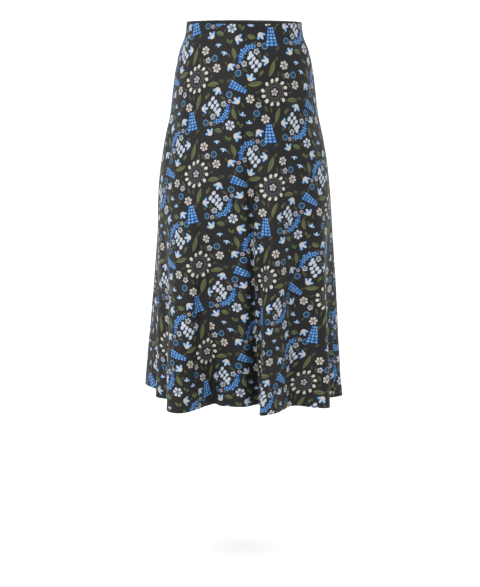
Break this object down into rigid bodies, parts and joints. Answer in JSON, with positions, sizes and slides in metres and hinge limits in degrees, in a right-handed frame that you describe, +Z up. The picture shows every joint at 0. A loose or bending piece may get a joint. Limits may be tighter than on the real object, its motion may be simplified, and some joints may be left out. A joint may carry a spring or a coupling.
{
  "type": "a-line skirt",
  "caption": "Flared midi skirt in its worn, hollow form, with hanging folds, a turned hem, an elastic waist and an all-over flower print.",
  "frame": {"origin": "middle of the waist opening, level with the waist edge", "axes": "+Z up, out of the waist; the hem lies towards -Z; the front of the skirt faces -Y and the wearer's left is +X"},
  "size_m": [0.4526, 0.3758, 0.8135],
  "materials": {
    "printed_cloth": "matte crepe jersey, black ground with an all-over print of small cream, white and blue flowers and olive leaves, paler and duller on the inside",
    "elastic": "woven black elastic with fine ribs"
  },
  "bodies": {
    "root": {"front_panel": "printed_cloth", "back_panel": "printed_cloth", "waist_elastic": "elastic"}
  },
  "joints": []
}
